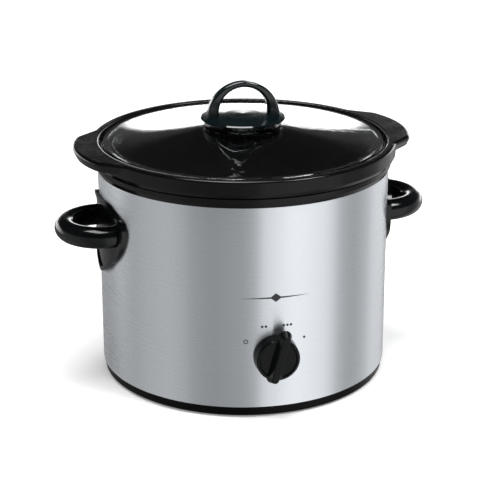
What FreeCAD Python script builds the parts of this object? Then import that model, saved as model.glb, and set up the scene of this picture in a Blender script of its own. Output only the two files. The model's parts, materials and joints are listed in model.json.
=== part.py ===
import FreeCAD, Part
import Sketcher
import math
import os

# Round manual slow cooker, in millimetres. +Z is up and Z = 0 is the surface that it stands on.
# The pot's axis is the Z axis and the control knob faces -Y. The carrying handles and the crock's
# lugs lie along X, turned a few degrees round the pot.

DIMENSIONS = {
    # outer shell, a brushed steel wrap with its edges turned in
    "body_radius": 112.0, "steel_gauge": 0.5, "steel_bottom": 8.6, "steel_top": 163.8,
    "hem_width": 3.0,
    # base pan
    "band_radius": 110.5, "rim_bottom": 1.0, "rim_inner": 88.0, "pan_gauge": 2.0,
    "pan_underside": 5.0, "pan_upstand": 16.0, "vent_radius": 46.0, "vent_length": 22.0,
    "vent_width": 3.0,
    # rubber feet
    "foot_radius": 8.0, "foot_stem": 3.0, "foot_barb": 4.2, "foot_circle": 99.0,
    "foot_recess": 0.8, "foot_play": 0.3,
    # heating well
    "well_radius": 104.0, "well_gauge": 0.8, "well_floor": 66.0, "well_corner": 12.0,
    "well_rim_radius": 113.9, "well_rim_top": 171.9,
    # stoneware crock
    "crock_gap": 0.3, "crock_foot": 68.0, "crock_floor": 75.5, "crock_radius": 101.8,
    "crock_foot_radius": 86.0, "crock_wall": 7.2, "flange_radius": 117.2, "lip_top": 185.0,
    "ledge": 179.6, "ledge_radius": 110.4, "ledge_inner": 99.5,
    "lug_curve": 85.0, "lug_half": 38.0, "lug_corner": 123.4, "lug_depth": 7.4,
    "lug_lean": 24.0, "lug_round": 12.5, "lug_blend": 5.0, "lip_round": 2.2,
    # lid
    "lid_radius": 109.0, "glass_depth": 4.0, "lid_edge_top": 183.9, "dome_radius": 453.0,
    "dome_start": 104.0, "boss_radius": 29.5, "boss_top": 195.6, "lid_hole": 4.0,
    # lid handle
    "disc_radius": 32.8, "disc_edge": 200.0, "disc_top": 203.0, "arch_radius": 28.5,
    "arch_spring": 200.0, "arch_inner": 19.2, "arch_rise": 4.8, "arch_width": 7.6, "arch_round": 2.0,
    "lid_screw_reach": 199.0,
    # side handles
    "handle_turn": 4.5,
    "grip_height": 123.6, "grip_ring": 28.2, "grip_section": 8.3, "grip_centre": 111.9,
    "plate_face": 124.0, "plate_proud": 2.8, "plate_top": 147.6, "plate_bottom": 87.8,
    "plate_half": 44.5, "plate_recess": 1.3, "plate_border": 3.2, "plate_corner": 30.0,
    "handle_screw_angle": 15.5,
    # control knob and rotary switch
    "knob_height": 49.4, "knob_radius": 16.75, "knob_start": 0.6, "knob_face": 10.0,
    "pointer_long": 23.2, "pointer_short": 18.8, "pointer_half": 5.3, "pointer_rise": 15.5,
    "pointer_turn": 15.5, "shaft_radius": 3.0, "shaft_gap": 0.05, "bushing_radius": 4.9,
    "switch_half": 11.6, "switch_front": 110.0, "switch_depth": 12.6, "switch_wall": 1.8,
    "cover_gauge": 1.4, "cam_radius": 7.0,
    # heater band
    "heater_bottom": 84.0, "heater_height": 46.0, "heater_gauge": 2.1, "strap_gauge": 0.5,
    # cord entry
    "gland_height": 24.0, "gland_bore": 3.6, "gland_neck": 6.1, "gland_flange": 8.5,
    # leads
    "lead_radius": 1.1,
    # fasteners
    "screw_shank": 1.6, "screw_head": 3.4, "bracket_radius": 70.0, "bracket_width": 12.0,
    # printed marks
    "print_depth": 0.12, "mark_circle": 25.0, "badge_height": 95.0, "badge_half": 25.0,
}

SHEET = "dims"
doc = FreeCAD.newDocument("slow_cooker")
sheet = doc.addObject("Spreadsheet::Sheet", SHEET)
for row, (alias, number) in enumerate(DIMENSIONS.items(), start=1):
    sheet.set(f"A{row}", alias)
    sheet.set(f"B{row}", str(number))
    sheet.setAlias(f"B{row}", alias)
doc.recompute()

NODES = []
UP = FreeCAD.Vector(0, 0, 1)
FRONT = FreeCAD.Vector(0, -1, 0)
BACK = FreeCAD.Vector(0, 1, 0)


class Size:
    """A number with the sheet expression that it comes from."""

    def __init__(self, number, text):
        self.number = number
        self.text = text

    def __add__(self, other):
        other = size_of(other)
        return Size(self.number + other.number, f"({self.text} + {other.text})")

    def __sub__(self, other):
        other = size_of(other)
        return Size(self.number - other.number, f"({self.text} - {other.text})")

    def __mul__(self, factor):
        return Size(self.number * factor, f"({self.text} * {factor})")

    def __neg__(self):
        return Size(-self.number, f"(-{self.text})")


def size_of(value):
    """Turns a plain number into a Size, and leaves a Size alone."""
    return value if isinstance(value, Size) else Size(float(value), f"({float(value)})")


def dim(alias):
    """A driving dimension from the sheet."""
    return Size(float(sheet.get(alias)), f"{SHEET}.{alias}")


def bind(target, prop, size):
    """Sets a property and ties it to the sheet."""
    target.setExpression(prop, size_of(size).text)


def node(target, label):
    """Names a finished sub-part, which is then written to a file of that name."""
    target.Label = label
    NODES.append(target)
    return target


def place(target, position=(0, 0, 0), direction=UP, turn=0.0):
    """Stands an object at a position, with its own Z along a direction, turned about that Z."""
    spots = [size_of(value) for value in position]
    spin = FreeCAD.Rotation(UP, turn)
    lean = FreeCAD.Rotation(UP, FreeCAD.Vector(*direction))
    target.Placement = FreeCAD.Placement(
        FreeCAD.Vector(*[spot.number for spot in spots]), lean.multiply(spin)
    )
    for letter, spot in zip("xyz", spots):
        bind(target, f"Placement.Base.{letter}", spot)
    return target


# ---------------------------------------------------------------- primitives and booleans

def cylinder(name, radius, height, position=(0, 0, 0), direction=UP):
    made = doc.addObject("Part::Cylinder", name)
    bind(made, "Radius", radius)
    bind(made, "Height", height)
    return place(made, position, direction)


def box(name, lengths, position, turn=0.0):
    """A box whose position is its lowest corner, turned about that corner."""
    made = doc.addObject("Part::Box", name)
    for prop, length in zip(("Length", "Width", "Height"), lengths):
        bind(made, prop, length)
    return place(made, position, UP, turn)


def cut(name, base, tool):
    made = doc.addObject("Part::Cut", name)
    made.Base, made.Tool = base, tool
    return made


def common(name, base, tool):
    made = doc.addObject("Part::Common", name)
    made.Base, made.Tool = base, tool
    return made


def fuse(name, shapes):
    made = doc.addObject("Part::MultiFuse", name)
    made.Shapes = shapes
    return made


def group(name, shapes):
    """Separate solids that share one node."""
    made = doc.addObject("Part::Compound", name)
    made.Links = shapes
    return made


def tube(name, outer, inner, height, position=(0, 0, 0), direction=UP):
    return cut(
        name,
        cylinder(f"{name}_outside", outer, height, position, direction),
        cylinder(f"{name}_bore", inner, height, position, direction),
    )


# ---------------------------------------------------------------- sketches and bodies

def new_body(name):
    return doc.addObject("PartDesign::Body", name)


def sketch_on(body, role, name, lift=0.0):
    """A sketch on one of the body's own origin planes, lifted along the plane's normal."""
    sketch = body.newObject("Sketcher::SketchObject", name)
    plane = next(item for item in body.Origin.OriginFeatures if item.Role == role)
    sketch.AttachmentSupport = [(plane, "")]
    sketch.MapMode = "FlatFace"
    bind(sketch, "AttachmentOffset.Base.z", lift)
    return sketch


def bind_point(sketch, curve, end, spot, label):
    """Ties one end of a curve to its distances from the sketch's origin."""
    for letter, axis, size in (("X", -2, spot[0]), ("Y", -1, spot[1])):
        if abs(size.number) < 1e-9:
            sketch.addConstraint(Sketcher.Constraint("PointOnObject", curve, end, axis))
            continue
        kind = f"Distance{letter}"
        if size.number > 0:
            rule = Sketcher.Constraint(kind, -1, 1, curve, end, size.number)
        else:
            rule = Sketcher.Constraint(kind, curve, end, -1, 1, -size.number)
        index = sketch.addConstraint(rule)
        sketch.renameConstraint(index, f"{label}{letter}")
        text = size.text if size.number > 0 else f"-{size.text}"
        sketch.setExpression(f"Constraints.{label}{letter}", text)


def arc_middle(start, end, radius):
    """The middle point of the arc between two points; a negative radius bulges to the right."""
    chord = end - start
    sagitta = abs(radius) - math.sqrt(radius * radius - chord.Length ** 2 / 4)
    side = FreeCAD.Vector(-chord.y, chord.x, 0).normalize() * math.copysign(sagitta, radius)
    return (start + end) * 0.5 + side


def outline(sketch, corners):
    """A closed outline through corners (x, y) or (x, y, radius of the arc to the next corner)."""
    spots = [(size_of(corner[0]), size_of(corner[1])) for corner in corners]
    points = [FreeCAD.Vector(x.number, y.number, 0) for x, y in spots]
    count = len(corners)
    first_ends = []
    for index, corner in enumerate(corners):
        start, end = points[index], points[(index + 1) % count]
        if len(corner) == 2:
            sketch.addGeometry(Part.LineSegment(start, end), False)
            first_ends.append(1)
            continue
        radius = size_of(corner[2]).number
        middle = arc_middle(start, end, radius)
        # a sketch stores every arc anticlockwise, so a clockwise one is drawn from its far end
        anticlockwise = radius < 0
        arc = Part.Arc(start, middle, end) if anticlockwise else Part.Arc(end, middle, start)
        sketch.addGeometry(arc, False)
        first_ends.append(1 if anticlockwise else 2)
    for index, corner in enumerate(corners):
        before = (index - 1) % count
        sketch.addConstraint(Sketcher.Constraint(
            "Coincident", before, 3 - first_ends[before], index, first_ends[index]))
        bind_point(sketch, index, first_ends[index], spots[index], f"p{index}")
        if len(corner) == 3:
            radius = size_of(corner[2])
            rule = sketch.addConstraint(
                Sketcher.Constraint("Radius", index, abs(radius.number)))
            sketch.renameConstraint(rule, f"r{index}")
            text = radius.text if radius.number > 0 else f"-{radius.text}"
            sketch.setExpression(f"Constraints.r{index}", text)
    return sketch


def circle(sketch, centre, radius, label="hole"):
    """A circle bound to the sheet, at a bound centre."""
    spot = (size_of(centre[0]), size_of(centre[1]))
    radius = size_of(radius)
    curve = sketch.addGeometry(
        Part.Circle(FreeCAD.Vector(spot[0].number, spot[1].number, 0), UP, radius.number), False)
    bind_point(sketch, curve, 3, spot, label)
    rule = sketch.addConstraint(Sketcher.Constraint("Radius", curve, radius.number))
    sketch.renameConstraint(rule, f"{label}R")
    sketch.setExpression(f"Constraints.{label}R", radius.text)


def revolve(body, corners, name="profile", angle=360.0):
    """Turns an outline of (radius, height) corners about the body's Z axis."""
    sketch = outline(sketch_on(body, "XZ_Plane", name), corners)
    made = body.newObject("PartDesign::Revolution", f"{name}_turned")
    made.Profile = sketch
    made.ReferenceAxis = (sketch, ["V_Axis"])
    made.Angle = angle
    return made


def groove(body, corners, name):
    """Turns an outline out of the body, and fails if it cuts nothing."""
    doc.recompute()
    before = body.Shape.Volume
    sketch = outline(sketch_on(body, "XZ_Plane", name), corners)
    made = body.newObject("PartDesign::Groove", f"{name}_turned_out")
    made.Profile = sketch
    made.ReferenceAxis = (sketch, ["V_Axis"])
    made.Angle = 360.0
    doc.recompute()
    if not body.Shape.Volume < before - 1e-3:
        raise RuntimeError(f"{made.Name} cuts nothing")
    return made


def pad(body, sketch, length, taper=0.0, midplane=False):
    made = body.newObject("PartDesign::Pad", f"{sketch.Name}_pad")
    made.Profile = sketch
    bind(made, "Length", length)
    made.TaperAngle = taper
    made.Midplane = midplane
    return made


def pocket(body, sketch, backwards=False, both_ways=False):
    """Cuts right through, and fails if it cuts nothing."""
    doc.recompute()
    before = body.Shape.Volume
    made = body.newObject("PartDesign::Pocket", f"{sketch.Name}_cut")
    made.Profile = sketch
    made.Type = "ThroughAll"
    made.Reversed = backwards
    made.Midplane = both_ways
    doc.recompute()
    if not body.Shape.Volume < before - 1e-3:
        raise RuntimeError(f"{made.Name} cuts nothing")
    return made


def rounded(body, base, chosen, radius):
    """Rounds the edges of a feature that a test picks."""
    doc.recompute()
    names = [f"Edge{i}" for i, edge in enumerate(base.Shape.Edges, start=1) if chosen(edge)]
    if not names:
        raise RuntimeError(f"no edge to round on {base.Name}")
    made = body.newObject("PartDesign::Fillet", f"{base.Name}_round")
    made.Base = (base, names)
    bind(made, "Radius", radius)
    doc.recompute()
    return made


def ring_at(radius, height, slack=0.02):
    """Picks the circular edges about the Z axis at a radius and a height."""
    radius, height = size_of(radius).number, size_of(height).number

    def chosen(edge):
        curve = edge.Curve
        return (
            isinstance(curve, Part.Circle)
            and abs(curve.Radius - radius) < slack
            and abs(curve.Center.z - height) < 0.02
            and math.hypot(curve.Center.x, curve.Center.y) < 0.02
        )

    return chosen


# ---------------------------------------------------------------- shell, pan and feet

BODY = dim("body_radius")
SHELL_INSIDE = BODY - dim("steel_gauge")
KNOB_Z = dim("knob_height")
GLAND_Z = dim("gland_height")
GRIP_Z = dim("grip_height")
HANDLE_TURN = DIMENSIONS["handle_turn"]


def outer_shell():
    """The brushed steel wrap, with both edges turned in and holes for what passes through it."""
    body = new_body("OuterShell")
    hem = BODY - dim("hem_width")
    low, high, gauge = dim("steel_bottom"), dim("steel_top"), dim("steel_gauge")
    revolve(body, [
        (hem, low), (BODY, low), (BODY, high), (hem, high),
        (hem, high - gauge), (SHELL_INSIDE, high - gauge),
        (SHELL_INSIDE, low + gauge), (hem, low + gauge),
    ], "wall")
    knob_hole = sketch_on(body, "XZ_Plane", "knob_hole")
    circle(knob_hole, (0, KNOB_Z), dim("bushing_radius") + 0.15)
    pocket(body, knob_hole, backwards=True)
    cord_hole = sketch_on(body, "XZ_Plane", "cord_hole")
    circle(cord_hole, (0, GLAND_Z), dim("gland_neck") + 0.1)
    pocket(body, cord_hole)
    doc.recompute()
    drills = [
        handle_screw_part(f"ShellDrill{i}", angle, dim("screw_shank") + 0.4, 104.0, 16.0)
        for i, angle in enumerate(handle_screw_angles())
    ]
    return node(cut("ShellDrilled", body, fuse("ShellDrills", drills)), "outer_shell")


def handle_screw_angles():
    """Two screws for each handle, either side of the handles' own axis."""
    spread = DIMENSIONS["handle_screw_angle"]
    centres = (HANDLE_TURN, HANDLE_TURN + 180.0)
    return [centre + side * spread for centre in centres for side in (-1, 1)]


def handle_screw_part(name, angle, radius, start, length):
    """A cylinder along a radius of the pot, at the handles' height."""
    outwards = FreeCAD.Rotation(UP, angle).multVec(FreeCAD.Vector(1, 0, 0))
    spot = outwards * start
    return cylinder(name, radius, length, (spot.x, spot.y, GRIP_Z), outwards)


def foot_angles():
    return [45.0 + 90.0 * step for step in range(4)]


def bracket_angles():
    """The three brackets keep clear of the switch at the front and the cord at the rear."""
    return [0.0 + 120.0 * step for step in range(3)]


def base_pan():
    """The black pan under the shell: a band, a foot rim with recesses, and a raised floor with vents."""
    body = new_body("BasePan")
    band, rim, inner = dim("band_radius"), dim("rim_bottom"), dim("rim_inner")
    gauge, floor = dim("pan_gauge"), dim("pan_underside")
    step = BODY - dim("hem_width") - 0.3
    wall = step - gauge
    revolve(body, [
        (0, floor), (inner - 2.0, floor), (inner, rim), (band - 0.8, rim), (band, rim + 0.8),
        (band, dim("steel_bottom")), (step, dim("steel_bottom")), (step, dim("pan_upstand")),
        (wall, dim("pan_upstand")), (wall, rim + gauge), (inner + 1.2, rim + gauge),
        (inner - 0.8, floor + gauge), (0, floor + gauge),
    ], "pan")
    slot = sketch_on(body, "XY_Plane", "vent")
    near = dim("vent_radius")
    half = dim("vent_width") * 0.5
    outline(slot, [
        (near, -half), (near + dim("vent_length"), -half),
        (near + dim("vent_length"), half), (near, half),
    ])
    vent = pocket(body, slot, backwards=True)
    vents = body.newObject("PartDesign::PolarPattern", "vents")
    vents.Originals = [vent]
    vents.Axis = (slot, ["N_Axis"])
    vents.Angle = 360.0
    vents.Occurrences = 12
    body.Tip = vents
    doc.recompute()
    holes = [
        cylinder(f"FootHole{i}", dim("foot_stem"), 20.0, ring_spot("foot_circle", angle, -5.0))
        for i, angle in enumerate(foot_angles())
    ]
    holes += [
        cylinder(
            f"FootRecess{i}", dim("foot_radius") + dim("foot_play"), dim("foot_recess") + 5.0,
            ring_spot("foot_circle", angle, rim - 5.0),
        )
        for i, angle in enumerate(foot_angles())
    ]
    holes += [
        cylinder(f"BaseScrewHole{i}", dim("screw_shank"), 20.0, bracket_spot(angle, -5.0))
        for i, angle in enumerate(bracket_angles())
    ]
    return node(cut("BasePanDrilled", body, fuse("BasePanHoles", holes)), "base_pan")


def ring_spot(alias, angle, height, inset=0.0):
    """A point on a circle about the pot's axis."""
    turn = math.radians(angle)
    reach = dim(alias) - inset
    return (reach * round(math.cos(turn), 9), reach * round(math.sin(turn), 9), height)


def bracket_spot(angle, height):
    return ring_spot("bracket_radius", angle, height, inset=6.0)


def rubber_feet():
    """Four soft feet: a pad let into the pan's rim, a stem through it and a barb that holds it."""
    places = ("rear_right", "rear_left", "front_left", "front_right")
    rim = dim("rim_bottom")
    for where, angle in zip(places, foot_angles()):
        body = new_body(f"Foot_{where}")
        top, seat = rim + dim("pan_gauge"), rim + dim("foot_recess")
        pad_radius, stem, barb = dim("foot_radius"), dim("foot_stem"), dim("foot_barb")
        revolve(body, [
            (0, 0), (pad_radius - 0.5, 0), (pad_radius, 0.4), (pad_radius, seat), (stem, seat),
            (stem, top), (barb, top), (stem - 1.0, top + 2.4), (0, top + 2.4),
        ], f"foot_{where}_profile")
        place(body, ring_spot("foot_circle", angle, 0.0))
        node(body, f"foot_{where}")


# ---------------------------------------------------------------- well, brackets and crock

def heating_well():
    """The coated steel well that the crock stands in, with a rolled rim over the shell."""
    body = new_body("HeatingWell")
    gauge, floor, corner = dim("well_gauge"), dim("well_floor"), dim("well_corner")
    inside, rim, top = dim("well_radius"), dim("well_rim_radius"), dim("well_rim_top")
    seat = dim("steel_top")
    outside = inside + gauge
    made = revolve(body, [
        (0, floor - gauge), (outside - corner, floor - gauge, -corner),
        (outside, floor - gauge + corner), (outside, top - gauge), (rim - 1.7, top - gauge),
        (rim - gauge, top - 1.7), (rim - gauge, seat + 3.4), (rim - 2.1, seat), (rim - 1.3, seat),
        (rim, seat + 3.2), (rim, top - 1.4), (rim - 1.4, top), (inside + 1.0, top),
        (inside, top - 1.0), (inside, floor + corner - gauge, corner - gauge),
        (inside - corner + gauge, floor), (0, floor),
    ], "well")
    body.Tip = made
    return node(body, "heating_well")


def tie_brackets():
    """Three bent straps that tie the well's floor to the base pan and clamp the shell between."""
    floor = dim("pan_underside") + dim("pan_gauge")
    top = dim("well_floor") - dim("well_gauge")
    reach, width = dim("bracket_radius"), dim("bracket_width")
    for index, angle in enumerate(bracket_angles(), start=1):
        turn = math.radians(angle)
        out = (math.cos(turn), math.sin(turn))

        def strap(name, start, length, low, height):
            corner = (
                (reach + start) * out[0] + width * (0.5 * out[1]),
                (reach + start) * out[1] - width * (0.5 * out[0]),
                low,
            )
            return box(name, (length, width, height), corner, angle)

        parts = [
            strap(f"Tie{index}_low", -12.0, 12.0, floor, 1.0),
            strap(f"Tie{index}_web", -1.0, 1.0, floor, top - floor),
            strap(f"Tie{index}_high", -12.0, 12.0, top - 1.0, 1.0),
        ]
        hole = cylinder(
            f"Tie{index}_hole", dim("screw_shank"), 6.0, bracket_spot(angle, floor - 2.0))
        node(cut(f"Tie{index}", fuse(f"Tie{index}_straps", parts), hole), f"tie_bracket_{index}")


def screw(name, spot, direction, head_radius, head, shank_radius, shank):
    """A plain pan screw: the head stands behind the spot, the shank runs along the direction."""
    position = [size_of(value) for value in spot]
    back = [position[i] - direction[i] * head for i in range(3)]
    return fuse(name, [
        cylinder(f"{name}_head", head_radius, head, back, direction),
        cylinder(f"{name}_shank", shank_radius, shank, spot, direction),
    ])


def base_screws():
    floor = dim("pan_underside")
    screws = [
        screw(f"BaseScrew{i}", bracket_spot(angle, floor), UP,
              dim("screw_head"), 1.8, dim("screw_shank"), 6.0)
        for i, angle in enumerate(bracket_angles())
    ]
    return node(group("BaseScrews", screws), "base_screws")


def stoneware_crock():
    """The glazed stoneware pot with a lip, a ledge for the lid and a lug on each side."""
    body = new_body("StonewareCrock")
    foot, floor, wall = dim("crock_foot"), dim("crock_floor"), dim("crock_wall")
    outer, foot_radius, flange = dim("crock_radius"), dim("crock_foot_radius"), dim("flange_radius")
    under = dim("well_rim_top") + dim("crock_gap")
    lip, ledge, step = dim("lip_top"), dim("ledge"), dim("ledge_radius")
    revolve(body, [
        (0, foot), (foot_radius, foot), (outer - 3.0, foot + 13.0), (outer, under - 6.0),
        (outer + 0.6, under), (flange - 1.4, under), (flange, under + 2.6), (flange, lip),
        (0, lip),
    ], "pot")
    lug = sketch_on(body, "XY_Plane", "lugs", lift=lip)
    half, corner = dim("lug_half"), dim("lug_corner")
    root, root_half, curve = flange - 15.0, half + 17.5, dim("lug_curve")
    outline(lug, [
        (-root, -root_half), (root, -root_half), (corner, -half, -curve),
        (corner, half), (root, root_half), (-root, root_half), (-corner, half, -curve),
        (-corner, -half),
    ])
    lugs = pad(body, lug, dim("lug_depth"), taper=-DIMENSIONS["lug_lean"])
    lugs.Reversed = True
    shape = rounded(body, lugs, leaning_at(corner, half), dim("lug_round"))
    shape = rounded(body, shape, leaning_near(flange), dim("lug_blend"))
    shape = rounded(body, shape, level_edges(lip, flange - 0.5), dim("lip_round"))
    shape = rounded(body, shape, ring_at(foot_radius, foot), 6.0)
    bowl = foot_radius - 3.0
    shape = groove(body, [
        (0, floor), (bowl, floor), (outer - wall - 2.4, floor + 12.0),
        (outer - wall + 0.5, ledge - 6.0), (dim("ledge_inner"), ledge), (step, ledge),
        (step + 0.4, lip + 1.0), (0, lip + 1.0),
    ], "inside")
    shape = rounded(body, shape, ring_at(bowl, floor), 10.0)
    shape = rounded(body, shape, ring_at(dim("ledge_inner"), ledge), 2.0)
    shape = rounded(body, shape, ring_at(step + 0.34, lip, slack=0.1), 1.4)
    body.Tip = shape
    place(body, (0, 0, 0), UP, HANDLE_TURN)
    return node(body, "stoneware_crock")


def upper_end(edge):
    return max((corner.Point for corner in edge.Vertexes), key=lambda point: point.z)


def leaning_at(across, along):
    """Picks the sides' edges whose upper ends are at the mirrored places (across, along)."""
    across, along = across.number, along.number

    def chosen(edge):
        top = upper_end(edge)
        return (
            edge.BoundBox.ZLength > 2.0
            and abs(abs(top.x) - across) < 0.1
            and abs(abs(top.y) - along) < 0.1
        )

    return chosen


def leaning_near(radius):
    """Picks the sides' edges whose upper ends are at a radius from the pot's axis, on a lug."""
    radius = radius.number

    def chosen(edge):
        top = upper_end(edge)
        return (
            edge.BoundBox.ZLength > 2.0
            and len(edge.Vertexes) > 1
            and abs(math.hypot(top.x, top.y) - radius) < 0.1
            and abs(top.y) > 10.0
        )

    return chosen


def level_edges(height, beyond):
    """Picks the edges at one height that stay further than a radius from the pot's axis."""
    height, beyond = size_of(height).number, beyond.number

    def chosen(edge):
        box_of = edge.BoundBox
        first, last = edge.ParameterRange
        spots = [edge.valueAt(first + (last - first) * step / 4.0) for step in range(5)]
        return (
            abs(box_of.ZMin - height) < 1e-3
            and abs(box_of.ZMax - height) < 1e-3
            and min(math.hypot(spot.x, spot.y) for spot in spots) > beyond
        )

    return chosen


# ---------------------------------------------------------------- lid

def glass_lid():
    """A domed clear lid: a flat edge, a shallow dome and a raised boss round the screw hole."""
    body = new_body("GlassLid")
    edge, top, depth = dim("lid_radius"), dim("lid_edge_top"), dim("glass_depth")
    start, boss, boss_top = dim("dome_start"), dim("boss_radius"), dim("boss_top")
    dome, hole = dim("dome_radius"), dim("lid_hole")
    shoulder = boss_top - 0.9
    made = revolve(body, [
        (hole, boss_top - depth), (boss - 1.0, boss_top - depth),
        (boss, shoulder - depth, -dome), (start, top - depth), (edge - 1.2, top - depth),
        (edge, top - depth + 1.2), (edge, top - 1.6), (edge - 1.6, top), (start, top, dome),
        (boss + 1.0, shoulder), (boss, boss_top), (hole, boss_top),
    ], "dome")
    body.Tip = made
    return node(body, "glass_lid")


def lid_handle():
    """The black lid handle: a hub, a round finger guard and an arch that the hand lifts."""
    body = new_body("LidHandle")
    disc, edge, top = dim("disc_radius"), dim("disc_edge"), dim("disc_top")
    hub = dim("boss_top") + 0.8
    pilot = dim("screw_shank")
    depth = dim("lid_screw_reach")
    guard = revolve(body, [
        (pilot, hub), (9.0, hub), (10.0, hub + 0.8), (disc - 2.0, edge - 0.8),
        (disc - 0.4, edge - 0.4), (disc, edge + 0.4), (disc - 1.0, edge + 1.2),
        (14.0, top - 0.5), (0, top), (0, depth), (pilot, depth),
    ], "guard")
    arch = sketch_on(body, "XZ_Plane", "arch")
    outer, inner, rise = dim("arch_radius"), dim("arch_inner"), dim("arch_rise")
    spring = dim("arch_spring")
    outline(arch, [
        (outer, spring, -outer), (0, spring + outer, -outer), (-outer, spring),
        (-inner, spring), (-inner, spring + rise, inner),
        (0, spring + rise + inner, inner), (inner, spring + rise), (inner, spring),
    ])
    made = pad(body, arch, dim("arch_width"), midplane=True)
    doc.recompute()
    half = dim("arch_width") * 0.5
    shape = rounded(body, made, side_edges(half, top + 1.0), dim("arch_round"))
    body.Tip = shape
    return node(body, "lid_handle")


def side_edges(offset, above):
    """Picks the edges in the planes Y = +offset and Y = -offset, above a height."""
    offset, above = offset.number, above.number

    def chosen(edge):
        box_of = edge.BoundBox
        return (
            box_of.YLength < 1e-3
            and abs(abs(box_of.YMin) - offset) < 1e-3
            and box_of.ZMax > above
        )

    return chosen


def lid_fasteners():
    """What holds the lid handle: a pad above the glass, and a seal, washer and screw below it."""
    above, below = dim("boss_top"), dim("boss_top") - dim("glass_depth")
    shank, hole = dim("screw_shank"), dim("lid_hole")
    node(tube("HandlePad", 9.0, hole, 0.8, (0, 0, above)), "lid_handle_pad")
    node(tube("LidSeal", 9.5, shank, 1.2, (0, 0, below - 1.2)), "lid_seal")
    node(tube("LidWasher", 8.0, shank, 0.8, (0, 0, below - 2.0)), "lid_washer")
    reach = dim("lid_screw_reach") - below + 2.0
    node(screw("LidScrew", (0, 0, below - 2.0), (0, 0, 1), 4.2, 2.2, shank, reach), "lid_screw")


# ---------------------------------------------------------------- carrying handles

def side_handle(side, label):
    """A moulded handle: a curved plate with a raised border, and a round grip that loops out."""
    name = label.title().replace("_", "")
    proud, face = dim("plate_proud"), dim("plate_face")
    front = BODY + proud
    face_centre = (front - face) * side
    slab = cylinder(f"{name}Face", face, 120.0, (face_centre, 0, 60.0))
    floor = cylinder(f"{name}Floor", face - dim("plate_recess"), 120.0, (face_centre, 0, 60.0))
    body_space = cylinder(f"{name}Back", BODY + 0.05, 120.0, (0, 0, 60.0))
    corner, border = dim("plate_corner"), dim("plate_border")
    outer = plate_block(f"{name}Outline", side, size_of(0.0), corner)
    inner = plate_block(f"{name}Inset", side, border, corner - border)
    plate = common(f"{name}Plate", slab, outer)
    recess = cut(f"{name}Recess", inner, floor)
    dished = cut(f"{name}Dished", plate, recess)
    grip = grip_ring(f"{name}Grip", side)
    joined = place(fuse(f"{name}Joined", [dished, grip]), (0, 0, 0), UP, HANDLE_TURN)
    hollowed = cut(f"{name}Hollowed", joined, body_space)
    angles = handle_screw_angles()[:2] if side > 0 else handle_screw_angles()[2:]
    drills = [
        handle_screw_part(f"{name}Drill{i}", angle, dim("screw_shank"), 100.0, 24.0)
        for i, angle in enumerate(angles)
    ]
    return node(cut(f"{name}Drilled", hollowed, fuse(f"{name}Drills", drills)), label)


def plate_block(name, side, inset, corner):
    """The plate's outline as a block along X: a wide shield with a flat top."""
    body = new_body(name)
    sketch = sketch_on(body, "YZ_Plane", f"{name}_shape")
    top, bottom, half = dim("plate_top"), dim("plate_bottom"), dim("plate_half")
    shoulder = (half - 24.0 - inset * 0.2, top - inset)
    slope = (half - 6.2 - inset * 0.5, top - 7.5 - inset * 0.87)
    widest = (half - inset, top - 19.0)
    cheek = (half - 18.0 - inset * 0.59, bottom + 13.8 + inset * 0.81)
    sole, flank, turn = size_of(54.0) - inset, size_of(37.5) - inset, size_of(13.8) - inset

    def mirrored(spot):
        return -spot[0], spot[1]

    outline(sketch, [
        (0, bottom + inset, -sole), (*cheek, -flank), (*widest, -turn), slope, shoulder,
        mirrored(shoulder), (*mirrored(slope), -turn), (*mirrored(widest), -flank),
        (*mirrored(cheek), -sole),
    ])
    bind(sketch, "AttachmentOffset.Base.z", 80.0 * side)
    made = pad(body, sketch, 60.0)
    made.Reversed = side < 0

    def shoulders(edge):
        spread = edge.BoundBox
        upright = spread.YLength + spread.ZLength < 1e-3
        return upright and abs(abs(spread.YMin) - shoulder[0].number) < 0.01

    body.Tip = rounded(body, made, shoulders, corner)
    return body


def grip_ring(name, side):
    """Half of a round ring that stands out on two short straight arms, buried in the plate."""
    ring = doc.addObject("Part::Torus", name)
    bind(ring, "Radius1", dim("grip_ring"))
    bind(ring, "Radius2", dim("grip_section"))
    ring.Angle3 = 180.0
    place(ring, (dim("grip_centre") * side, 0, GRIP_Z), UP, -90.0 if side > 0 else 90.0)
    arms = [
        cylinder(f"{name}Arm{index}", dim("grip_section"), 12.0,
                 (dim("grip_centre") * side, offset, GRIP_Z), (-side, 0, 0))
        for index, offset in enumerate((dim("grip_ring"), -dim("grip_ring")))
    ]
    return fuse(f"{name}Loop", [ring] + arms)


def handle_fasteners():
    """Each handle's two screws come from inside the shell, with a washer under each head."""
    inside = DIMENSIONS["body_radius"] - DIMENSIONS["steel_gauge"]
    washer, depth = 0.7, 7.0
    angles = handle_screw_angles()
    for label, chosen in (("right", angles[:2]), ("left", angles[2:])):
        washers, screws = [], []
        for index, angle in enumerate(chosen):
            name = f"Handle_{label}_{index}"
            start = inside - washer - 0.15
            ring = handle_screw_part(f"{name}_ring", angle, 3.6, start, washer)
            bore = handle_screw_part(f"{name}_bore", angle, dim("screw_shank"), start, washer)
            washers.append(cut(f"{name}_washer", ring, bore))
            head = handle_screw_part(f"{name}_head", angle, 3.0, start - 1.6, 1.6)
            shank = handle_screw_part(
                f"{name}_shank", angle, dim("screw_shank"), start, depth)
            screws.append(fuse(f"{name}_screw", [head, shank]))
        node(group(f"Washers_{label}", washers), f"{label}_handle_washers")
        node(group(f"Screws_{label}", screws), f"{label}_handle_screws")


# ---------------------------------------------------------------- knob and rotary switch

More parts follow.
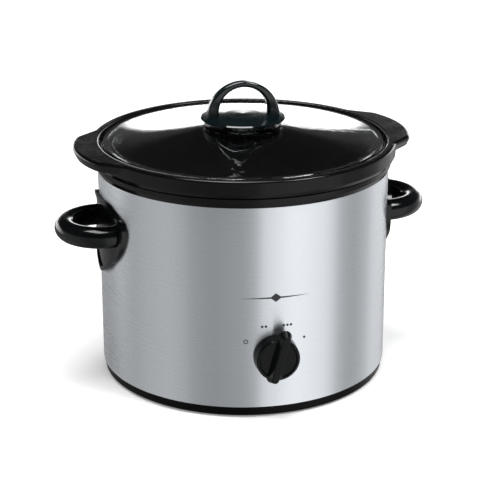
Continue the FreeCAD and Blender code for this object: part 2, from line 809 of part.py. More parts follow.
def control_knob():
    """The knob: a hollow round skirt with a dished face and a raised pointer bar across it."""
    body = new_body("ControlKnob")
    radius, start, face = dim("knob_radius"), dim("knob_start"), dim("knob_face")
    bore = dim("shaft_radius")
    revolve(body, [
        (bore, 3.6), (6.0, 3.6), (6.0, face - 3.2), (radius - 1.9, face - 3.2),
        (radius - 1.7, start), (radius, start), (radius - 0.5, face - 1.2),
        (radius - 1.6, face), (radius - 2.6, face), (radius - 3.4, face - 1.0),
        (0, face - 1.0), (0, face - 2.6), (bore, face - 2.6),
    ], "skirt")
    bar = sketch_on(body, "XY_Plane", "pointer", lift=face - 1.6)
    half, up, down = dim("pointer_half"), dim("pointer_long"), dim("pointer_short")
    outline(bar, [
        (half, -(down - half)), (half, up - half, -half), (0, up, -half), (-half, up - half),
        (-half, -(down - half), -half), (0, -down, -half),
    ])
    made = pad(body, bar, dim("pointer_rise") - face + 1.6, taper=-20.0)
    doc.recompute()
    top = dim("pointer_rise").number

    def crest(edge):
        return edge.BoundBox.ZMin > top - 1e-3

    body.Tip = rounded(body, made, crest, 0.9)
    place(body, (0, -BODY, KNOB_Z), FRONT, 0.0)
    body.Placement = knob_placement(body.Placement)
    return node(body, "control_knob")


def knob_placement(found):
    """Turns a piece about the knob's axis so that its own +Y is the way the pointer points."""
    level = FreeCAD.Rotation(FreeCAD.Vector(1, 0, 0), 90.0)
    turned = level.multiply(FreeCAD.Rotation(UP, -DIMENSIONS["pointer_turn"]))
    return FreeCAD.Placement(found.Base, turned)


def along_knob_axis(distance):
    """A point on the knob's axis, at a distance from the pot's axis."""
    return (0, -size_of(distance), KNOB_Z)


def switch_shaft():
    """The shaft runs from inside the switch to the knob, and carries the cam."""
    shaft = cylinder(
        "SwitchShaft", dim("shaft_radius"), dim("knob_face") + 11.0,
        along_knob_axis(BODY - 13.8), FRONT)
    return node(shaft, "switch_shaft")


def switch_cam():
    """A round cam with three notches, pressed on the shaft inside the housing."""
    depth, start = 6.0, dim("switch_front") - 9.4
    disc = cylinder("CamDisc", dim("cam_radius"), depth, along_knob_axis(start), FRONT)
    bore = cylinder("CamBore", dim("shaft_radius"), depth, along_knob_axis(start), FRONT)
    notches = []
    for index in range(3):
        turn = math.radians(90.0 + 120.0 * index)
        spot = (7.6 * math.cos(turn), -start, KNOB_Z + 7.6 * math.sin(turn))
        notches.append(cylinder(f"CamNotch{index}", 1.8, depth, spot, FRONT))
    return node(cut("Cam", disc, fuse("CamCuts", [bore] + notches)), "switch_cam")


def switch_housing():
    """A moulded box behind the shell with a threaded neck that comes out through it."""
    half, front, wall = dim("switch_half"), dim("switch_front"), dim("switch_wall")
    depth = dim("switch_depth")
    low = (-half, -front, KNOB_Z - half)
    shell = box("SwitchBlock", (half * 2, depth, half * 2), low)
    inner = half - wall
    cavity = box(
        "SwitchCavity", (inner * 2, depth, inner * 2), (-inner, -(front - wall), KNOB_Z - inner))
    neck = cylinder(
        "SwitchNeck", dim("bushing_radius"), BODY - front + 4.6, along_knob_axis(front - 1.8),
        FRONT)
    bore = cylinder(
        "SwitchBore", dim("shaft_radius") + dim("shaft_gap"), 12.0,
        along_knob_axis(front - 4.0), FRONT)
    hollow = cut("SwitchHollow", shell, cavity)
    body = cut("SwitchHousing", fuse("SwitchWithNeck", [hollow, neck]), bore)
    node(body, "switch_housing")
    cover = box(
        "SwitchCover", (half * 2, dim("cover_gauge"), half * 2),
        (-half, -(front - depth), KNOB_Z - half))
    node(cover, "switch_cover")


def switch_nut():
    """The thin hexagon nut that holds the switch to the shell, under the knob's skirt."""
    prism = doc.addObject("Part::Prism", "NutHex")
    prism.Polygon = 6
    bind(prism, "Circumradius", 7.6)
    bind(prism, "Height", 2.2)
    place(prism, along_knob_axis(BODY + 0.05), FRONT)
    hole = cylinder(
        "NutHole", dim("bushing_radius"), 4.0, along_knob_axis(BODY - 1.0), FRONT)
    return node(cut("SwitchNut", prism, hole), "switch_nut")


def switch_contacts():
    """Three brass leaves round the cam, and four tabs under the housing for the leads."""
    reach, depth, gauge = dim("cam_radius") + 1.2, 5.0, 0.5
    start = -(dim("switch_front") - 3.6)
    leaves = [
        box("LeafRight", (gauge, depth, 16.0), (reach, start, KNOB_Z - 8.0)),
        box("LeafLeft", (gauge, depth, 16.0), (-reach - gauge, start, KNOB_Z - 8.0)),
        box("LeafTop", (14.0, depth, gauge), (-7.0, start, KNOB_Z + reach)),
    ]
    node(group("SwitchContacts", leaves), "switch_contacts")
    bottom = KNOB_Z - dim("switch_half")
    tabs = [
        box(f"SwitchTab{index}", (4.8, 0.8, 7.0),
            (centre - 2.4, -(dim("switch_front") - 6.0), bottom - 7.0))
        for index, centre in enumerate(switch_tab_centres())
    ]
    node(group("SwitchTerminals", tabs), "switch_terminals")


def switch_tab_centres():
    return (-8.0, 0.0, 8.0)


# ---------------------------------------------------------------- heater, cord entry and leads

HEATER_INSIDE = dim("well_radius") + dim("well_gauge")


def heater_band():
    """The resistance band wrapped round the well, open at the rear, and the strap that holds it."""
    low, height, gauge = dim("heater_bottom"), dim("heater_height"), dim("heater_gauge")
    outside = HEATER_INSIDE + gauge
    ring = tube("HeaterRing", outside, HEATER_INSIDE, height, (0, 0, low))
    gap = box("HeaterGap", (12.0, 30.0, 80.0), (-6.0, 90.0, low - 10.0))
    node(cut("HeaterBand", ring, gap), "heater_band")
    strap_low = low + height * 0.5 - 5.0
    strap = dim("strap_gauge")
    hoop = tube("StrapRing", outside + strap, outside, 10.0, (0, 0, strap_low))
    slot = box("StrapGap", (6.0, 30.0, 20.0), (-3.0, 90.0, strap_low - 5.0))
    node(cut("HeaterStrap", hoop, slot), "heater_strap")
    spring_bar = box("SpringBar", (14.0, 1.2, 5.0), (-7.0, outside + strap, strap_low + 2.5))
    node(spring_bar, "strap_tie")
    tabs = []
    for index, angle in enumerate(heater_tab_angles()):
        turn = math.radians(angle)
        corner = (
            outside * math.cos(turn) + 2.4 * math.sin(turn),
            outside * math.sin(turn) - 2.4 * math.cos(turn),
            low - 7.0,
        )
        tabs.append(box(f"HeaterTab{index}", (0.8, 4.8, 14.0), corner, angle))
    node(group("HeaterTerminals", tabs), "heater_terminals")


def heater_tab_angles():
    """The band's terminals, at its left front, on the switch's side of the pot."""
    return (215.0, 225.0, 235.0)


def cord_gland():
    """The bush in the rear wall that a power cord goes through, with a throat and a flared mouth."""
    body = new_body("CordGland")
    bore, neck, flange = dim("gland_bore"), dim("gland_neck"), dim("gland_flange")
    revolve(body, [
        (bore, -7.0), (neck, -7.0), (neck + 1.0, -5.2), (neck + 1.0, -1.4), (neck, -1.4),
        (neck, 0.1), (flange, 0.1), (flange, 1.6), (neck + 0.6, 3.4), (bore + 1.8, 3.4),
        (bore, -1.0),
    ], "bush")
    place(body, (0, BODY, GLAND_Z), BACK)
    return node(body, "cord_gland")


def lead(name, label, route):
    """An insulated lead: straight runs joined by arcs as large as the runs allow."""
    points = [FreeCAD.Vector(*[size_of(value).number for value in spot]) for spot in route]
    radius = float(sheet.get("lead_radius"))
    edges, at = [], points[0]
    for before, corner, after in zip(points, points[1:], points[2:]):
        inwards, outwards = (corner - before).normalize(), (after - corner).normalize()
        turn = inwards.getAngle(outwards)
        reach = 0.45 * min((corner - before).Length, (after - corner).Length)
        start, end = corner - inwards * reach, corner + outwards * reach
        bisector = (outwards - inwards).normalize()
        bend = reach / math.tan(turn / 2.0)
        middle = corner + bisector * (bend / math.cos(turn / 2.0) - bend)
        edges.append(Part.LineSegment(at, start).toShape())
        edges.append(Part.Arc(start, middle, end).toShape())
        at = end
    edges.append(Part.LineSegment(at, points[-1]).toShape())
    path = Part.Wire(edges)
    section = Part.Wire(Part.makeCircle(radius, points[0], points[1] - points[0]))
    made = doc.addObject("Part::Feature", name)
    made.Shape = path.makePipeShell([section], True, False)
    made.Placement = FreeCAD.Placement()
    expected = math.pi * radius ** 2 * path.Length
    if abs(made.Shape.Volume - expected) > 0.02 * expected:
        raise RuntimeError(f"{label} has the wrong volume")
    return node(made, label)


def wiring():
    """The crimped joints behind the gland, the thermal fuse under the well, and the leads."""
    joint = 3.2
    joints = {"line": (-9.0, 70.0, 14.0), "neutral": (9.0, 70.0, 14.0)}
    crimps = [
        cylinder(f"Crimp_{name}", joint, 14.0, spot, BACK) for name, spot in joints.items()]
    node(group("CrimpJoints", crimps), "crimp_joints")

    well_under = dim("well_floor") - dim("well_gauge")
    fuse_z = well_under - 3.4
    fuse_start, fuse_length, fuse_y = 24.0, 13.0, 22.0
    fuse_body = cylinder(
        "ThermalFuse", 2.4, fuse_length, (fuse_start, fuse_y, fuse_z), (1, 0, 0))
    node(fuse_body, "thermal_fuse")
    middle = fuse_start + 0.5 * fuse_length
    cradle = box("FuseCradle", (5.0, 7.2, 6.6), (middle - 2.5, fuse_y - 3.6, well_under - 6.6))
    round_gap = cylinder("FuseGap", 2.5, 8.0, (middle - 4.0, fuse_y, fuse_z), (1, 0, 0))
    node(cut("FuseClip", cradle, round_gap), "fuse_clip")

    tab_y = -(dim("switch_front") - 6.4)
    tab_z = KNOB_Z - dim("switch_half") - 7.0
    first, second, third = switch_tab_centres()
    lead("LineLead", "line_lead", [
        (-9.0, 70.0, 14.0), (-9.0, 40.0, 14.0), (4.0, 0.0, 20.0), (8.0, -44.0, 17.0),
        (-4.0, -80.0, 14.0), (first, tab_y, 18.0), (first, tab_y, tab_z),
    ])
    lead("NeutralLead", "neutral_lead", [
        (9.0, 70.0, 14.0), (9.0, 52.0, 14.0), (28.0, 38.0, 24.0), (50.0, 30.0, 42.0),
        (54.0, fuse_y, fuse_z), (fuse_start + fuse_length, fuse_y, fuse_z),
    ])
    lead("FuseLead", "fuse_lead", [
        (fuse_start, fuse_y, fuse_z), (8.0, fuse_y, fuse_z), (-18.0, 2.0, 50.0),
        (-50.0, -30.0, 46.0), *heater_approach(2),
    ])
    lead("LowHeatLead", "low_heat_lead", [
        (second, tab_y, tab_z), (second, tab_y, 22.0), (-10.0, -86.0, 20.0),
        (-34.0, -66.0, 28.0), (-50.0, -56.0, 40.0), *heater_approach(1),
    ])
    lead("HighHeatLead", "high_heat_lead", [
        (third, tab_y, tab_z), (third, tab_y, 30.0), (12.0, -84.0, 26.0), (-6.0, -64.0, 30.0),
        (-40.0, -46.0, 32.0), (-66.0, -42.0, 42.0), *heater_approach(0),
    ])


def heater_approach(which):
    """The last two points of a lead that comes up beside the well to a heater terminal."""
    turn = math.radians(heater_tab_angles()[which])
    reach = HEATER_INSIDE.number + DIMENSIONS["heater_gauge"] + 1.9
    top = DIMENSIONS["heater_bottom"] - 7.0
    across, along = reach * math.cos(turn), reach * math.sin(turn)
    return [(across, along, top - 22.0), (across, along, top)]


# ---------------------------------------------------------------- printed marks

def printed(name, blocks):
    """A thin printed layer: blocks along Y, kept only where they meet the shell's front."""
    skin = tube(
        f"{name}_skin", BODY + dim("print_depth"), BODY, 150.0, (0, 0, dim("steel_bottom") + 2.0))
    block = blocks[0] if len(blocks) == 1 else fuse(f"{name}_blocks", blocks)
    return common(f"{name}_layer", block, skin)


def mark_spot(angle):
    """A place on the circle of marks round the knob, clockwise from the top."""
    turn = math.radians(angle)
    reach = DIMENSIONS["mark_circle"]
    return reach * math.sin(turn), DIMENSIONS["knob_height"] + reach * math.cos(turn)


def dot(name, across, height, radius):
    return cylinder(name, radius, 20.0, (across, -100.0, height), FRONT)


def dial_marks():
    """The four settings: a hollow ring, then two, three and one dots."""
    blocks = []
    ring_x, ring_z = mark_spot(-61.5)
    blocks.append(cut(
        "OffMark", dot("OffDisc", ring_x, ring_z, 1.7), dot("OffHole", ring_x, ring_z, 1.1)))
    for angle, count in ((-20.5, 2), (20.5, 3), (61.5, 1)):
        centre_x, centre_z = mark_spot(angle)
        for index in range(count):
            across = centre_x + (index - (count - 1) / 2.0) * 2.7
            blocks.append(dot(f"Mark{count}_{index}", across, centre_z, 0.95))
    return node(printed("DialMarks", blocks), "dial_marks")


def badge_mark():
    """A plain ornament above the dial: a lozenge between two tapering rules."""
    body = new_body("Badge")
    sketch = sketch_on(body, "XZ_Plane", "badge_shape", lift=90.0)
    centre, reach, thick = dim("badge_height"), dim("badge_half"), 0.55
    outline(sketch, [
        (-reach, centre), (-5.0, centre - thick), (-3.6, centre - thick), (0, centre - 3.4),
        (3.6, centre - thick), (5.0, centre - thick), (reach, centre),
        (5.0, centre + thick), (3.6, centre + thick), (0, centre + 3.4),
        (-3.6, centre + thick), (-5.0, centre + thick),
    ])
    body.Tip = pad(body, sketch, 30.0)
    return node(printed("BadgeMark", [body]), "badge_mark")


def check_and_export():
    """Stops if anything in the document failed, then writes one STEP file for each node."""
    doc.recompute()
    for item in doc.Objects:
        if "Invalid" in item.State or "Error" in item.State:
            raise RuntimeError(f"{item.Name} failed: {item.State}")
    for item in NODES:
        if item.Shape.isNull() or not item.Shape.isValid() or item.Shape.Volume <= 0:
            raise RuntimeError(f"{item.Label} has no valid shape")
    os.makedirs("parts", exist_ok=True)
    for item in NODES:
        item.Shape.exportStep(f"parts/{item.Label}.step")
        print(item.Label, len(item.Shape.Solids), "solids", round(item.Shape.Volume), "mm3")
    print(len(NODES), "nodes")


outer_shell()
base_pan()
rubber_feet()
heating_well()
tie_brackets()
base_screws()
stoneware_crock()
glass_lid()
lid_handle()
lid_fasteners()
side_handle(1, "right_handle")
side_handle(-1, "left_handle")
handle_fasteners()
control_knob()
switch_shaft()
switch_cam()
switch_housing()
switch_nut()
switch_contacts()
heater_band()
cord_gland()
wiring()
dial_marks()
badge_mark()
check_and_export()
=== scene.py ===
# A round slow cooker: brushed steel base with side handles and a dial, a stoneware crock and a glass lid.
# Everything is in metres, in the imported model's own frame: Z up along the pot's axis, -Y to the front.
import json
import math

import bpy
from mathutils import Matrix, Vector


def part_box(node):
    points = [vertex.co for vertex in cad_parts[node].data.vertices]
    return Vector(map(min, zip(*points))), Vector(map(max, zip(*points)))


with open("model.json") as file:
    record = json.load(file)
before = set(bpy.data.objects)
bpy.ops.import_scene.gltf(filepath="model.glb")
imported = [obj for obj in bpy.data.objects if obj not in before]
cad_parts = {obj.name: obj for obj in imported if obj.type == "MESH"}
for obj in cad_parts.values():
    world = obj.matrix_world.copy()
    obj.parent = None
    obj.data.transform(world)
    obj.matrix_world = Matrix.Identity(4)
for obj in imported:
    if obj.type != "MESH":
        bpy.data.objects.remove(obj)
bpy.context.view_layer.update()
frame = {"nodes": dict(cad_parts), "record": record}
NODES = frame["nodes"]


# ---------------------------------------------------------------- materials
class Shade:
    """A node material: one Principled shader, with short ways to hang other nodes on it."""

    def __init__(self, name, **values):
        self.mat = bpy.data.materials.new(name)
        self.mat.use_nodes = True
        self.tree = self.mat.node_tree
        self.tree.nodes.clear()
        self.out = self.tree.nodes.new("ShaderNodeOutputMaterial")
        self.skin = self.tree.nodes.new("ShaderNodeBsdfPrincipled")
        self.link(self.skin.outputs[0], self.out.inputs["Surface"])
        self.set(self.skin, **values)
        self.place = self.node("ShaderNodeTexCoord").outputs["Object"]

    @staticmethod
    def set(node, **values):
        """Sets a node's own inputs, named with _ for each space."""
        for key, value in values.items():
            socket = node.inputs[key.replace("_", " ")]
            if hasattr(socket.default_value, "__len__") and len(value) == 3:
                value = (*value, 1.0) if len(socket.default_value) == 4 else value
            socket.default_value = value

    def node(self, kind, **props):
        """A new node of one kind, with its settings."""
        made = self.tree.nodes.new(kind)
        for key, value in props.items():
            setattr(made, key, value)
        return made

    def link(self, a, b):
        self.tree.links.new(a, b)

    def stretched(self, scale):
        """The object's own coordinates, in metres, times scale on each axis."""
        mapping = self.node("ShaderNodeMapping")
        mapping.inputs["Scale"].default_value = scale
        self.link(self.place, mapping.inputs["Vector"])
        return mapping.outputs[0]

    def noise(self, scale, detail=3.0, rough=0.5, warp=0.0):
        """Cloud noise, from 0 to 1. scale is in cells per metre, one number or one for each axis."""
        scale = scale if hasattr(scale, "__len__") else (scale,) * 3
        made = self.node("ShaderNodeTexNoise")
        self.set(made, Scale=1.0, Detail=detail, Roughness=rough, Distortion=warp)
        self.link(self.stretched(scale), made.inputs["Vector"])
        return made.outputs[0]

    def ramp(self, value, stops):
        """value through a colour ramp: stops are (place, grey or colour)."""
        made = self.node("ShaderNodeValToRGB")
        marks = made.color_ramp.elements
        while len(marks) < len(stops):
            marks.new(0.5)
        for mark, (at, colour) in zip(marks, stops):
            mark.position = at
            colour = colour if hasattr(colour, "__len__") else (colour,) * 3
            mark.color = (*colour, 1.0)
        self.link(value, made.inputs[0])
        return made.outputs[0]

    def span(self, value, low, high, start=0.0, end=1.0):
        """value, from start to end, mapped to low to high."""
        made = self.node("ShaderNodeMapRange")
        for key, number in (("From Min", start), ("From Max", end), ("To Min", low), ("To Max", high)):
            made.inputs[key].default_value = number
        self.link(value, made.inputs["Value"])
        return made.outputs[0]

    def math(self, operation, a, b):
        """One sum: a and b are outputs or numbers."""
        made = self.node("ShaderNodeMath", operation=operation)
        for socket, value in zip(made.inputs, (a, b)):
            if hasattr(value, "links"):
                self.link(value, socket)
            else:
                socket.default_value = value
        return made.outputs[0]

    def bump(self, height, strength, distance):
        """A normal bent by height, which is from 0 to 1; distance is that range in metres."""
        made = self.node("ShaderNodeBump")
        self.set(made, Strength=strength, Distance=distance)
        self.link(height, made.inputs["Height"])
        return made.outputs[0]

    def drive(self, **sockets):
        """Links outputs to the Principled shader's inputs."""
        for key, value in sockets.items():
            self.link(value, self.skin.inputs[key.replace("_", " ")])
        return self


def brushed_shell():
    """Steel brushed round the body: fine and broad lines along the brushing, and gloss that is patchy."""
    s = Shade("brushed_shell", Metallic=1.0, Anisotropic=0.85, Anisotropic_Rotation=0.25)
    fine = s.noise((28.0, 28.0, 3600.0), detail=2.0, rough=0.6)
    broad = s.noise((9.0, 9.0, 420.0), detail=3.0, rough=0.55)
    patchy = s.noise(14.0, detail=2.0)
    grain = s.math("ADD", s.math("MULTIPLY", fine, 0.6), s.math("MULTIPLY", broad, 0.4))
    colour = s.ramp(grain, [(0.30, (0.625, 0.654, 0.690)), (0.72, (0.662, 0.690, 0.722))])
    rough = s.math("ADD", s.span(grain, 0.25, 0.31, 0.3, 0.7), s.span(patchy, -0.02, 0.02))
    s.drive(Base_Color=colour, Roughness=rough, Normal=s.bump(fine, 0.05, 0.00006))
    turn = s.node("ShaderNodeTangent", direction_type="RADIAL", axis="Z")
    return s.drive(Tangent=turn.outputs[0]).mat


def coated(name, low, high, rough, orange_peel=0.05, cell=260.0, **values):
    """A smooth surface: its colour wanders from low to high and its roughness varies over the pair rough.

    A faint orange peel lies over it, of the strength orange_peel, with cell bumps to the metre."""
    s = Shade(name, **values)
    wander = s.noise(22.0, detail=4.0)
    s.drive(Base_Color=s.ramp(wander, [(0.3, low), (0.7, high)]))
    smear = s.noise((46.0, 46.0, 60.0), detail=5.0, rough=0.65, warp=0.6)
    s.drive(Roughness=s.span(smear, rough[0], rough[1], 0.3, 0.7))
    s.drive(Normal=s.bump(s.noise(cell, detail=2.0), orange_peel, 0.0004))
    return s.mat


def speckled_rubber(name, low, high):
    """Matt rubber with a fine grain."""
    s = Shade(name, Specular_IOR_Level=0.35)
    fine = s.noise(2400.0, detail=3.0)
    s.drive(Base_Color=s.ramp(fine, [(0.35, low), (0.7, high)]))
    s.drive(Roughness=s.span(fine, 0.55, 0.75), Normal=s.bump(fine, 0.25, 0.0001))
    return s.mat


def plated(name, low, high, rough=(0.25, 0.4)):
    """Clouded metal plating."""
    s = Shade(name, Metallic=1.0)
    cloud = s.noise(320.0, detail=4.0)
    s.drive(Base_Color=s.ramp(cloud, [(0.3, low), (0.7, high)]), Roughness=s.span(cloud, *rough))
    s.drive(Normal=s.bump(s.noise(1600.0), 0.1, 0.00005))
    return s.mat


def woven(name, low, high, pitch=0.0016):
    """Cloth with a weave of one pitch, in metres."""
    s = Shade(name, Roughness=0.8, Sheen_Weight=0.2)
    over = s.node("ShaderNodeTexWave", wave_type="BANDS", bands_direction="Z", wave_profile="SIN")
    s.set(over, Scale=0.5 / pitch, Distortion=0.4, Detail=1.0)
    s.link(s.place, over.inputs["Vector"])
    across = s.noise((1 / pitch, 1 / pitch, 240.0), detail=1.0)
    weave = s.math("MULTIPLY", over.outputs["Fac"], across)
    s.drive(Base_Color=s.ramp(weave, [(0.0, low), (0.6, high)]), Normal=s.bump(weave, 0.6, 0.0003))
    return s.mat


def clear_glass():
    """Clear glass with a faint film on it, which lets light through to what is below."""
    s = Shade("clear_glass", Transmission_Weight=1.0, IOR=1.5, Base_Color=(0.965, 0.99, 0.985))
    film = s.noise((30.0, 30.0, 30.0), detail=4.0, rough=0.6, warp=0.4)
    s.drive(Roughness=s.span(film, 0.0, 0.02, 0.45, 0.8))
    s.drive(Normal=s.bump(s.noise(38.0, detail=2.0), 0.03, 0.001))
    through = s.node("ShaderNodeBsdfTransparent")
    s.set(through, Color=(0.9, 0.95, 0.94))
    pick = s.node("ShaderNodeMixShader")
    shadow = s.node("ShaderNodeLightPath").outputs["Is Shadow Ray"]
    s.link(shadow, pick.inputs[0])
    s.link(s.skin.outputs[0], pick.inputs[1])
    s.link(through.outputs[0], pick.inputs[2])
    s.link(pick.outputs[0], s.out.inputs["Surface"])
    return s.mat


MATERIALS = {
    "brushed_shell": brushed_shell(),
    "black_enamel": coated(
        "black_enamel", (0.0015, 0.0015, 0.0018), (0.003, 0.003, 0.0035), (0.10, 0.20), Specular_IOR_Level=0.2
    ),
    "pan_black": coated(
        "pan_black", (0.001, 0.001, 0.0011), (0.0022, 0.0022, 0.0024), (0.22, 0.34), Specular_IOR_Level=0.07
    ),
    "gloss_black_plastic": coated(
        "gloss_black_plastic", (0.0012, 0.0016, 0.0018), (0.003, 0.0035, 0.004), (0.10, 0.17),
        Specular_IOR_Level=0.3,
    ),
    "knob_black_plastic": coated(
        "knob_black_plastic", (0.0016, 0.0019, 0.002), (0.0035, 0.004, 0.0042), (0.14, 0.22), cell=700.0,
        Specular_IOR_Level=0.13,
    ),
    "lid_handle_plastic": coated(
        "lid_handle_plastic", (0.0012, 0.0035, 0.0042), (0.003, 0.0065, 0.0075), (0.07, 0.13),
        Specular_IOR_Level=0.5,
    ),
    "foot_rubber": speckled_rubber("foot_rubber", (0.02, 0.02, 0.02), (0.05, 0.05, 0.05)),
    "gland_rubber": speckled_rubber("gland_rubber", (0.015, 0.015, 0.015), (0.035, 0.035, 0.035)),
    "seal_silicone": speckled_rubber("seal_silicone", (0.55, 0.56, 0.55), (0.68, 0.69, 0.67)),
    "black_glaze": coated(
        "black_glaze", (0.0012, 0.0012, 0.0014), (0.0035, 0.0033, 0.0035), (0.07, 0.15), orange_peel=0.09,
        cell=140.0, Specular_IOR_Level=0.19,
    ),
    "clear_glass": clear_glass(),
    "zinc_steel": plated("zinc_steel", (0.48, 0.49, 0.52), (0.66, 0.67, 0.69)),
    "contact_brass": plated("contact_brass", (0.62, 0.44, 0.18), (0.80, 0.60, 0.28), (0.2, 0.35)),
    "switch_moulding": coated("switch_moulding", (0.05, 0.035, 0.028), (0.08, 0.055, 0.045), (0.4, 0.55)),
    "heater_cloth": woven("heater_cloth", (0.42, 0.40, 0.35), (0.74, 0.72, 0.66)),
    "lead_white": coated("lead_white", (0.70, 0.70, 0.67), (0.82, 0.82, 0.79), (0.35, 0.5)),
    "lead_black": coated("lead_black", (0.015, 0.015, 0.015), (0.03, 0.03, 0.03), (0.35, 0.5)),
    "fuse_metal": plated("fuse_metal", (0.72, 0.72, 0.74), (0.86, 0.86, 0.88), (0.15, 0.3)),
    "print_black": coated("print_black", (0.012, 0.012, 0.014), (0.025, 0.025, 0.028), (0.45, 0.6)),
}
for row in frame["record"]["subparts"]:
    node = NODES[row["node"]]
    node.data.materials.clear()
    node.data.materials.append(MATERIALS[row["material_slot"]])


# ---------------------------------------------------------------- floor, lights and camera
FLOOR_HALF = 4.0
# The floor glows, so that it is white away from the pot: how much at each distance from the pot's axis.
GLOW_NEAR, GLOW_FAR = (0.2, 0.25), (1.6, 0.75)


def staged_floor():
    """A white floor under the pot, which is part of the studio and not of the object."""
    mesh = bpy.data.meshes.new("floor")
    corners = [(x * FLOOR_HALF, y * FLOOR_HALF, 0) for x, y in ((-1, -1), (1, -1), (1, 1), (-1, 1))]
    mesh.from_pydata(corners, [], [(0, 1, 2, 3)])
    made = bpy.data.objects.new("floor", mesh)
    bpy.context.scene.collection.objects.link(made)
    s = Shade("floor_white", Specular_IOR_Level=0.1)
    s.drive(Base_Color=s.ramp(s.noise(3.0), [(0.2, 0.86), (0.8, 0.9)]))
    s.drive(Roughness=s.span(s.noise(5.0), 0.7, 0.8))
    reach = s.node("ShaderNodeVectorMath", operation="LENGTH")
    s.link(s.place, reach.inputs[0])
    s.set(s.skin, Emission_Color=(1.0, 1.0, 1.0))
    (start, least), (end, most) = GLOW_NEAR, GLOW_FAR
    s.drive(Emission_Strength=s.span(reach.outputs["Value"], least, most, start, end))
    mesh.materials.append(s.mat)
    return made


AIM = Vector((0, 0, 0.1))


def softbox(name, compass, up, distance, size, power):
    """An area light, distance metres from AIM, at compass (0 is +X and 90 is +Y) and up, both in degrees."""
    lamp = bpy.data.lights.new(name, "AREA")
    lamp.shape = "RECTANGLE"
    lamp.size, lamp.size_y = size
    lamp.energy = power
    made = bpy.data.objects.new(name, lamp)
    bpy.context.scene.collection.objects.link(made)
    a, e = math.radians(compass), math.radians(up)
    away = Vector((math.cos(a) * math.cos(e), math.sin(a) * math.cos(e), math.sin(e)))
    made.location = AIM + away * distance
    made.rotation_mode = "QUATERNION"
    made.rotation_quaternion = away.to_track_quat("Z", "Y")
    return made


floor = staged_floor()
floor.visible_glossy = False

# The studio round the pot: how bright the walls are at each compass bearing (0 is +X, 90 is +Y).
STUDIO = [
    (-180, 0.64), (-164, 0.68), (-149, 0.60), (-144, 0.48), (-126, 0.42), (-104, 0.48), (-94, 0.60),
    (-84, 1.16), (-62, 1.38), (-36, 1.24), (-28, 1.08), (-20, 0.66), (-5, 0.52), (10, 0.66),
    (24, 1.0), (44, 0.8), (60, 0.3), (130, 0.26), (146, 0.48), (158, 0.54), (180, 0.64),
]
# How much of that is left at each height: the sine of the angle above the horizon.
RISE = [(-1.0, 0.4), (-0.7, 0.9), (-0.1, 1.0), (0.14, 1.0), (0.26, 0.25), (0.36, 0.06), (1.0, 0.06)]
# Bright panels behind the pot: by bearing, by height, and how bright.
LOW_PANEL = [(-0.16, 0.0), (-0.11, 1.0), (0.085, 1.0), (0.11, 0.0)]
HIGH_PANEL = [(0.085, 0.0), (0.10, 1.0), (0.19, 1.0), (0.22, 0.0)]
PANELS = [
    ([(22, 0.0), (36, 1.0), (142, 1.0), (166, 0.0)], LOW_PANEL, 3.0),
    ([(112, 0.0), (120, 1.0), (142, 1.0), (150, 0.0)], HIGH_PANEL, 3.4),
    ([(52, 0.0), (58, 1.0), (84, 1.0), (92, 0.0)], HIGH_PANEL, 3.4),
]
# A colour ramp holds no more than 1, so the walls' brightness is divided by FULL and multiplied back.
FULL = 1.5


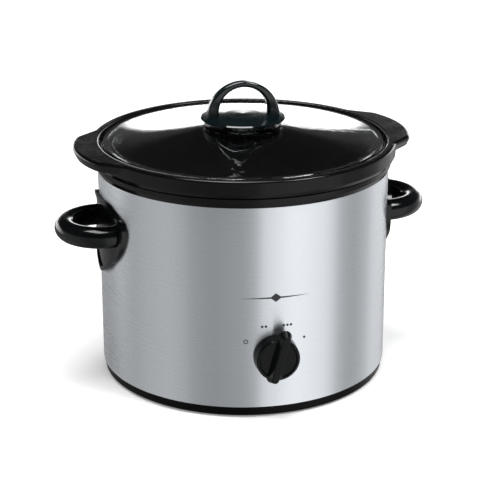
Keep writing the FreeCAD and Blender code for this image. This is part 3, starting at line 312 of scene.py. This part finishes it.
def studio_world():
    """Light from all round: the walls, dimmed with height, and the panels."""
    world = bpy.data.worlds.new("studio")
    bpy.context.scene.world = world
    world.use_nodes = True
    tree = world.node_tree

    def node(kind, **props):
        made = tree.nodes.new(kind)
        for key, value in props.items():
            setattr(made, key, value)
        return made

    def ramp(value, stops):
        """value through a grey ramp: stops are (place, grey)."""
        made = node("ShaderNodeValToRGB")
        made.color_ramp.interpolation = "EASE"
        marks = made.color_ramp.elements
        while len(marks) < len(stops):
            marks.new(0.5)
        for mark, (at, grey) in zip(marks, stops):
            mark.position = at
            mark.color = (grey, grey, grey, 1.0)
        tree.links.new(value, made.inputs[0])
        return made.outputs[0]

    def total_of(operation, a, b):
        made = node("ShaderNodeMath", operation=operation)
        for socket, value in zip(made.inputs, (a, b)):
            if hasattr(value, "links"):
                tree.links.new(value, socket)
            else:
                socket.default_value = value
        return made.outputs[0]

    def by_bearing(stops, full=1.0):
        return ramp(turn.outputs[0], [((deg + 180) / 360, grey / full) for deg, grey in stops])

    def by_height(stops):
        return ramp(height.outputs[0], [((up + 1) / 2, share) for up, share in stops])

    split = node("ShaderNodeSeparateXYZ")
    tree.links.new(node("ShaderNodeTexCoord").outputs["Generated"], split.inputs[0])
    bearing = node("ShaderNodeMath", operation="ARCTAN2")
    tree.links.new(split.outputs["Y"], bearing.inputs[0])
    tree.links.new(split.outputs["X"], bearing.inputs[1])
    turn = node("ShaderNodeMapRange")
    for key, number in (("From Min", -math.pi), ("From Max", math.pi)):
        turn.inputs[key].default_value = number
    tree.links.new(bearing.outputs[0], turn.inputs["Value"])
    height = node("ShaderNodeMapRange")
    height.inputs["From Min"].default_value = -1.0
    tree.links.new(split.outputs["Z"], height.inputs["Value"])
    light = total_of("MULTIPLY", total_of("MULTIPLY", by_bearing(STUDIO, FULL), by_height(RISE)), FULL)
    for bearings, heights, shine in PANELS:
        panel = total_of("MULTIPLY", total_of("MULTIPLY", by_bearing(bearings), by_height(heights)), shine)
        light = total_of("ADD", light, panel)
    # Straight behind the pot the studio is plain white; its walls and panels only light it and mirror in it.
    seen = node("ShaderNodeLightPath").outputs["Is Camera Ray"]
    light = total_of("ADD", total_of("MULTIPLY", light, total_of("SUBTRACT", 1.0, seen)), seen)
    shown = tree.nodes["Background"]
    tree.links.new(light, shown.inputs["Strength"])
    shown.inputs["Color"].default_value = (1, 1, 1, 1)


studio_world()
softbox("key_box", -38.0, 56.0, 1.6, (0.5, 0.5), 16.0)
softbox("top_box", -150.0, 82.0, 1.7, (1.0, 1.0), 38.0)

# The camera looks down on the pot from the left of the front. Its distances are from the pot's axis, along
# and across the way that it faces, and above the shell's lower edge.
CAMERA_AZIMUTH, CAMERA_PITCH = math.radians(-12.5), math.radians(20.05)
CAMERA_BACK, CAMERA_ASIDE, CAMERA_ABOVE = 1.1612, 0.0054, 0.5069
CAMERA_LENS = 112.8
CAMERA_NEAR, CAMERA_FAR = 0.05, 50
back = Vector((math.sin(CAMERA_AZIMUTH), -math.cos(CAMERA_AZIMUTH), 0))
aside = Vector((math.cos(CAMERA_AZIMUTH), math.sin(CAMERA_AZIMUTH), 0))
shell_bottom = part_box("outer_shell")[0].z
eye = bpy.data.objects.new("camera", bpy.data.cameras.new("camera"))
bpy.context.scene.collection.objects.link(eye)
eye.location = back * CAMERA_BACK + aside * CAMERA_ASIDE + Vector((0, 0, shell_bottom + CAMERA_ABOVE))
eye.rotation_euler = (math.radians(90) - CAMERA_PITCH, 0, CAMERA_AZIMUTH)
eye.data.lens = CAMERA_LENS
eye.data.clip_start, eye.data.clip_end = CAMERA_NEAR, CAMERA_FAR
bpy.context.scene.camera = eye
bpy.context.scene.view_settings.view_transform = "Standard"
